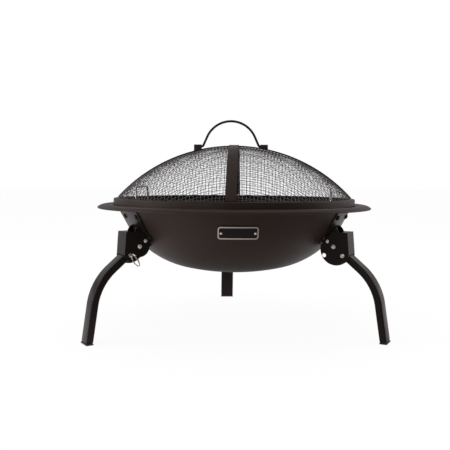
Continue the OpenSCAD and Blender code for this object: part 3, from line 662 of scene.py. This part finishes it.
housing = dressed("housing_pattern", "housing_back", 0.7)
WEB_FOOT = Vector((0, 253.85, 163.32)) * MM
WEB_LEAN = math.radians(5)
for vertex in housing.data.vertices:
    web_face = WEB_FOOT.y - (vertex.co.z - WEB_FOOT.z) * math.tan(WEB_LEAN)
    if vertex.co.z > WEB_FOOT.z and vertex.co.y > web_face:
        vertex.co.y = web_face
alter(housing, "WEIGHTED_NORMAL", keep_sharp=True)
on_each_leg(housing, BACK, "housing_folded", "bowl_body", "gloss_paint", gloss, ("housing",))
rivet = dressed("rivet_pattern", "housing_rivet_back", 0.3)
low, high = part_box("housing_rivet_back")
slimmed(rivet, (low[1] + high[1]) / 2, (low[2] + high[2]) / 2)
on_each_leg(rivet, BACK, "housing_tie_rivet", "bowl_body", "bright_steel", zinc, ("housing_rivet",))


# Legs: flat-oval steel tube, bent once, with a round head on the pivot bolt and a hole for the
# lock pin. The long edges are rolled to a small radius and the finish is gloss black.
def bored(piece, sides, radius, depth, place, turn):
    """Cuts a straight hole in a piece, with sizes and place in millimetres."""
    bpy.ops.object.select_all(action="DESELECT")
    bpy.ops.mesh.primitive_cylinder_add(vertices=sides, radius=radius * MM, depth=depth * MM,
                                        location=[at * MM for at in place], rotation=turn)
    cutter = bpy.context.object
    alter(piece, "BOOLEAN", object=cutter, operation="DIFFERENCE", solver="EXACT")
    bpy.data.objects.remove(cutter)
    smooth(piece, 35)


PIVOT = (223.05, 178.0)
UPPER_LEAN = 50.4
LOWER_LEAN = 8.9
BEND_C = (206.21, 55.66)
BEND_R = 105.0
TUBE_W = 30.0
TUBE_D = 13.5
TUBE_EDGE = 3.2
FOOT_Z = 3.0
LOCK_R = 25.0
LOCK_HOLE_R = 4.2
LOCK_AT = (PIVOT[0] + LOCK_R * math.sin(math.radians(UPPER_LEAN)),
           PIVOT[1] - LOCK_R * math.cos(math.radians(UPPER_LEAN)))
half = TUBE_D / 2


def at_floor(reach):
    """Where a line down the lower tube meets the top of the foot plug."""
    lean = math.radians(LOWER_LEAN)
    x = BEND_C[0] + reach * math.cos(lean)
    z = BEND_C[1] + reach * math.sin(lean)
    return (x + (z - FOOT_Z) * math.tan(lean), FOOT_Z)


outline = arc(PIVOT, half, UPPER_LEAN + 180, UPPER_LEAN, 14)
outline += arc(BEND_C, BEND_R + half, UPPER_LEAN, LOWER_LEAN, 18)
outline += [at_floor(BEND_R + half), at_floor(BEND_R - half)]
outline += arc(BEND_C, BEND_R - half, LOWER_LEAN, UPPER_LEAN, 18)
tube = traced("leg_pattern", outline)
bpy.ops.mesh.edge_face_add()
bpy.ops.mesh.select_all(action="SELECT")
bpy.ops.transform.translate(value=(0, -TUBE_W / 2 * MM, 0))
bpy.ops.mesh.extrude_region_move(TRANSFORM_OT_translate={"value": (0, TUBE_W * MM, 0)})
bpy.ops.mesh.select_all(action="SELECT")
bpy.ops.mesh.normals_make_consistent(inside=False)
bpy.ops.object.mode_set(mode="OBJECT")
alter(tube, "BEVEL", width=TUBE_EDGE * MM, segments=6, limit_method="ANGLE",
      angle_limit=math.radians(50))
bored(tube, 32, LOCK_HOLE_R, 2 * TUBE_W, (LOCK_AT[0], 0, LOCK_AT[1]), (math.pi / 2, 0, 0))
on_each_leg(tube, ALONG_X, "leg_bent_tube", "leg", "gloss_paint", gloss, ("leg_tube",))


# Foot plugs: moulded black plastic caps, pushed into the open ends of the tubes. Their rims are
# flush with the tube, so a leg seems to run down to the ground in one piece.
plastic = paint("foot_plastic", (0.0100, 0.0088, 0.0080), (0.0145, 0.0125, 0.0112), 0.30, 0.3, {})
plug = dressed("plug_pattern", "foot_plug_back", 0.3)
on_each_leg(plug, BACK, "foot_cap", "leg", "foot_plastic", plastic, ("foot_plug",))


# Pivot bolts: bright socket bolts that the legs turn on, with domed nuts on the other side.
# They pass through the housing, both ears and the head of the tube.
HEAD_END = 23.46
SOCKET_R = 2.2
SOCKET_LENGTH = 5
bolt = dressed("pivot_pattern", "pivot_bolt_back", 0.3)
slimmed(bolt, PIVOT[0] * MM, PIVOT[1] * MM)
bored(bolt, 6, SOCKET_R, SOCKET_LENGTH, (-HEAD_END, *PIVOT), (0, math.pi / 2, 0))
on_each_leg(bolt, BACK, "pivot_socket_bolt", "bowl_body", "bright_steel", zinc, ("pivot_bolt",))
nut = dressed("nut_pattern", "pivot_nut_back", 0.3)
slimmed(nut, PIVOT[0] * MM, PIVOT[1] * MM)
on_each_leg(nut, BACK, "pivot_domed_nut", "bowl_body", "bright_steel", zinc, ("pivot_nut",))


# Lock pins: bright steel pins through the housing and the leg, each with a flattened eye
# that carries a split ring of nickelled wire.
steel = metal("pin_steel", (0.56, 0.55, 0.52), (0.80, 0.79, 0.75), 0.22, 0.15, 0.85)
pin = dressed("pin_pattern", "lock_pin_back", 0.5)
on_each_leg(pin, BACK, "lock_pin_turned", "pin", "bright_steel", steel, ("lock_pin",))

nickel = metal("ring_nickel", (0.62, 0.54, 0.42), (0.86, 0.78, 0.64), 0.18, 0.05)
RING_R = 13.0
RING_DROOP = math.radians(40)
RING_LEAN = math.radians(25)
EYE_Y = 24.18
TURNS = 2
TURN_STEPS = 48
COIL_WIRE = 1.5
COIL_PITCH = 1.55
across = Vector((0, 1, 0))
down = Vector((-math.sin(RING_LEAN), 0, -math.cos(RING_LEAN)))
out = across.cross(down)
eye = Vector((LOCK_AT[0], EYE_Y, LOCK_AT[1]))
towards = math.cos(RING_DROOP) * across + math.sin(RING_DROOP) * down
aside = out.cross(towards)
middle = eye + RING_R * towards
run = []
for k in range(TURNS * TURN_STEPS + 1):
    turn = 2 * math.pi * k / TURN_STEPS + math.pi / 2
    climb = COIL_PITCH * max(-0.5, min(0.5, k / TURN_STEPS - TURNS / 2))
    run.append(middle + RING_R * (math.cos(turn) * towards + math.sin(turn) * aside) + climb * out)
coil = tubes("ring_pattern", [(run, False)], COIL_WIRE / 2, 2)
smooth(coil, 60)
on_each_leg(coil, ALONG_X, "split_ring", "ring", "bright_steel", nickel, ("pin_ring",))


# Badge: a small cast plate on the front of the bowl, held by two rivets. It has a worn bright
# border and a bare black field.
BADGE_TURN = math.radians(269.1)
BADGE_Z = 211.2
BADGE_HALF = (36.0, 11.5)
BORDER = 2.2
CORNER = 5.0
BORDER_OVERLAP = 0.15
BORDER_TONES = ((0.56, 0.48, 0.39, 1), (0.78, 0.68, 0.56, 1))
FIELD_TONES = ((0.008, 0.007, 0.007, 1), (0.014, 0.012, 0.012, 1))
badge_look, surface, start = coating("badge_enamel", {"Specular IOR Level": 0.15})
place = start.node("ShaderNodeTexCoord", out="Object")
parts = start.node("ShaderNodeSeparateXYZ", None, {"Vector": place})
east = parts.output("X")
north = parts.output("Y")
height = parts.output("Z")
along = start.maths("ABSOLUTE", north * math.cos(BADGE_TURN) - east * math.sin(BADGE_TURN))
upright = start.maths("ABSOLUTE", height - BADGE_Z * MM)
past_side = start.maths("MAXIMUM", along - (BADGE_HALF[0] - CORNER) * MM)
past_top = start.maths("MAXIMUM", upright - (BADGE_HALF[1] - CORNER) * MM)
reach = start.maths("SQRT", past_side * past_side + past_top * past_top)
border = start.maths("GREATER_THAN", reach, (CORNER - BORDER - BORDER_OVERLAP) * MM)
grain = start.node("ShaderNodeTexNoise", None, {"Vector": place, "Scale": 900.0, "Detail": 3.0})
bright = start.mix(grain, *BORDER_TONES)
black = start.mix(grain, *FIELD_TONES)
tone = start.mix(border, black, bright)
rough = 0.42 - 0.18 * border + 0.15 * grain
skin = start.node("ShaderNodeBump", None, {"Strength": 0.3, "Distance": 0.0001, "Height": grain})
feed(surface, tone, rough, skin)
start.tree.links.new(border.socket, surface.inputs["Metallic"])
repaint("badge_plate", badge_look)
repaint("badge_rivets", zinc)
